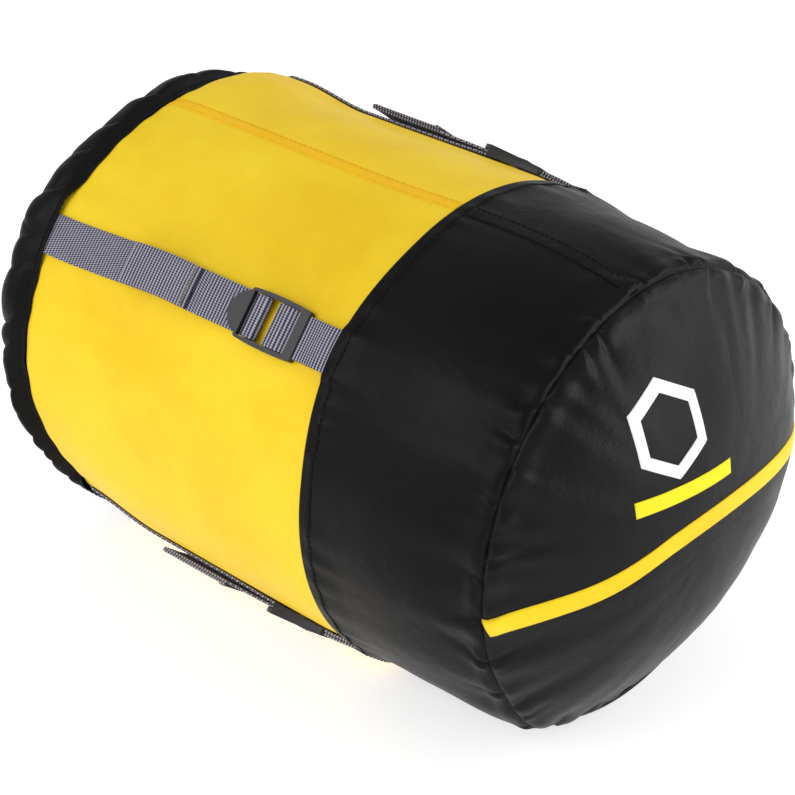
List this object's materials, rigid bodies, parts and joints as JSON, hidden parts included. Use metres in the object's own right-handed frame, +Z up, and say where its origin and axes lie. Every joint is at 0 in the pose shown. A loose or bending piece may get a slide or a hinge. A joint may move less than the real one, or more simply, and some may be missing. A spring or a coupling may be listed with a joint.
{
  "type": "compression sack",
  "caption": "Round fabric compression sack lying on its side, with a drawcord mouth under a strapped lid and ladderlock buckles.",
  "frame": {"origin": "middle of the bounding box, on the floor under the flattened side", "axes": "+X along the sack towards its domed base, +Z up"},
  "size_m": [0.3476, 0.2378, 0.2304],
  "materials": {
    "yellow_cloth": "coated nylon, satin",
    "black_cloth": "coated nylon, satin",
    "webbing": "woven polyester, grey with a dark dotted weave",
    "buckle_plastic": "satin moulded",
    "lock_plastic": "satin moulded",
    "cord": "braided",
    "eyelet_metal": "black enamel",
    "spring_steel": "drawn wire",
    "white_print": "screen print",
    "yellow_print": "screen print"
  },
  "bodies": {
    "base": {"lower_wall": "black_cloth", "base_panel": "black_cloth", "base_stripe": "yellow_cloth", "base_mark": "white_print", "base_bar": "yellow_print", "seam_hem": "black_cloth", "base_binding": "black_cloth", "lower_side_seam": "black_cloth", "upper_wall": "yellow_cloth", "upper_side_seam": "yellow_cloth", "fixed_webbing_1": "webbing", "fixed_webbing_2": "webbing", "fixed_webbing_3": "webbing", "fixed_webbing_4": "webbing"},
    "mouth": {"mouth_shoulder": "yellow_cloth", "cord_tunnel": "yellow_cloth", "tunnel_eyelet": "eyelet_metal", "drawcord": "cord"},
    "lid": {"lid_skirt": "black_cloth", "lid_hem": "black_cloth", "lid_panel": "black_cloth", "lid_binding": "black_cloth", "strap_run_1": "webbing", "strap_run_2": "webbing", "strap_run_3": "webbing", "strap_run_4": "webbing"},
    "cord_lock": {"cord_lock_body": "lock_plastic", "cord_lock_spring": "spring_steel"},
    "cord_lock_button": {"cord_lock_button": "lock_plastic"},
    "buckle_1": {"buckle_1": "buckle_plastic", "strap_wrap_1": "webbing", "fixed_loop_1": "webbing"},
    "strap_tail_1": {"strap_neck_1": "webbing"},
    "strap_end_1": {"strap_end_1": "webbing"},
    "buckle_2": {"buckle_2": "buckle_plastic", "strap_wrap_2": "webbing", "fixed_loop_2": "webbing"},
    "strap_tail_2": {"strap_neck_2": "webbing"},
    "strap_end_2": {"strap_end_2": "webbing"},
    "buckle_3": {"buckle_3": "buckle_plastic", "strap_wrap_3": "webbing", "fixed_loop_3": "webbing"},
    "strap_tail_3": {"strap_neck_3": "webbing"},
    "strap_end_3": {"strap_end_3": "webbing"},
    "buckle_4": {"buckle_4": "buckle_plastic", "strap_wrap_4": "webbing", "fixed_loop_4": "webbing"},
    "strap_tail_4": {"strap_neck_4": "webbing"},
    "strap_end_4": {"strap_end_4": "webbing"}
  },
  "joints": [
    {"name": "compress", "type": "slide", "parent": "base", "child": "mouth", "axis": [1, 0, 0], "range_m": [0, 0.05], "deforming": ["upper_wall", "upper_side_seam", "strap_run_1", "strap_run_2", "strap_run_3", "strap_run_4"]},
    {"name": "lid_lift", "type": "slide", "parent": "mouth", "child": "lid", "axis": [-1, 0, 0], "range_m": [0, 0.02]},
    {"name": "cord_lock_slide", "type": "slide", "parent": "mouth", "child": "cord_lock", "axis": [0, 0, 1], "range_m": [0, 0.028]},
    {"name": "cord_lock_press", "type": "slide", "parent": "cord_lock", "child": "cord_lock_button", "axis": [0, -1, 0], "range_m": [0, 0.004], "stiffness_N_per_m": 600, "springref_m": -0.003, "deforming": ["cord_lock_spring"]},
    {"name": "buckle_1_tilt", "type": "hinge", "parent": "base", "child": "buckle_1", "pos_m": [0.01485, 0.07501, 0.20414], "axis": [0, 0.7771, -0.6293], "range_deg": [0, 35]},
    {"name": "strap_1_feed", "type": "slide", "parent": "buckle_1", "child": "strap_tail_1", "axis": [-1, 0, 0], "range_m": [0, 0.05], "deforming": ["strap_neck_1"]},
    {"name": "strap_1_return", "type": "slide", "parent": "strap_tail_1", "child": "strap_end_1", "axis": [1, 0, 0], "range_m": [0, 0.02]},
    {"name": "buckle_2_tilt", "type": "hinge", "parent": "base", "child": "buckle_2", "pos_m": [0.01485, -0.09264, 0.18651], "axis": [0, 0.6293, 0.7771], "range_deg": [0, 35]},
    {"name": "strap_2_feed", "type": "slide", "parent": "buckle_2", "child": "strap_tail_2", "axis": [-1, 0, 0], "range_m": [0, 0.05], "deforming": ["strap_neck_2"]},
    {"name": "strap_2_return", "type": "slide", "parent": "strap_tail_2", "child": "strap_end_2", "axis": [1, 0, 0], "range_m": [0, 0.02]},
    {"name": "buckle_3_tilt", "type": "hinge", "parent": "base", "child": "buckle_3", "pos_m": [0.01485, -0.07501, 0.01886], "axis": [0, -0.7771, 0.6293], "range_deg": [0, 35]},
    {"name": "strap_3_feed", "type": "slide", "parent": "buckle_3", "child": "strap_tail_3", "axis": [-1, 0, 0], "range_m": [0, 0.05], "deforming": ["strap_neck_3"]},
    {"name": "strap_3_return", "type": "slide", "parent": "strap_tail_3", "child": "strap_end_3", "axis": [1, 0, 0], "range_m": [0, 0.02]},
    {"name": "buckle_4_tilt", "type": "hinge", "parent": "base", "child": "buckle_4", "pos_m": [0.01485, 0.09264, 0.03648], "axis": [0, -0.6293, -0.7771], "range_deg": [0, 35]},
    {"name": "strap_4_feed", "type": "slide", "parent": "buckle_4", "child": "strap_tail_4", "axis": [-1, 0, 0], "range_m": [0, 0.05], "deforming": ["strap_neck_4"]},
    {"name": "strap_4_return", "type": "slide", "parent": "strap_tail_4", "child": "strap_end_4", "axis": [1, 0, 0], "range_m": [0, 0.02]}
  ],
  "couplings": [
    {"joint": "strap_1_feed", "follows": "compress", "ratio": 1},
    {"joint": "strap_1_return", "follows": "lid_lift", "ratio": 1},
    {"joint": "strap_2_feed", "follows": "compress", "ratio": 1},
    {"joint": "strap_2_return", "follows": "lid_lift", "ratio": 1},
    {"joint": "strap_3_feed", "follows": "compress", "ratio": 1},
    {"joint": "strap_3_return", "follows": "lid_lift", "ratio": 1},
    {"joint": "strap_4_feed", "follows": "compress", "ratio": 1},
    {"joint": "strap_4_return", "follows": "lid_lift", "ratio": 1}
  ]
}
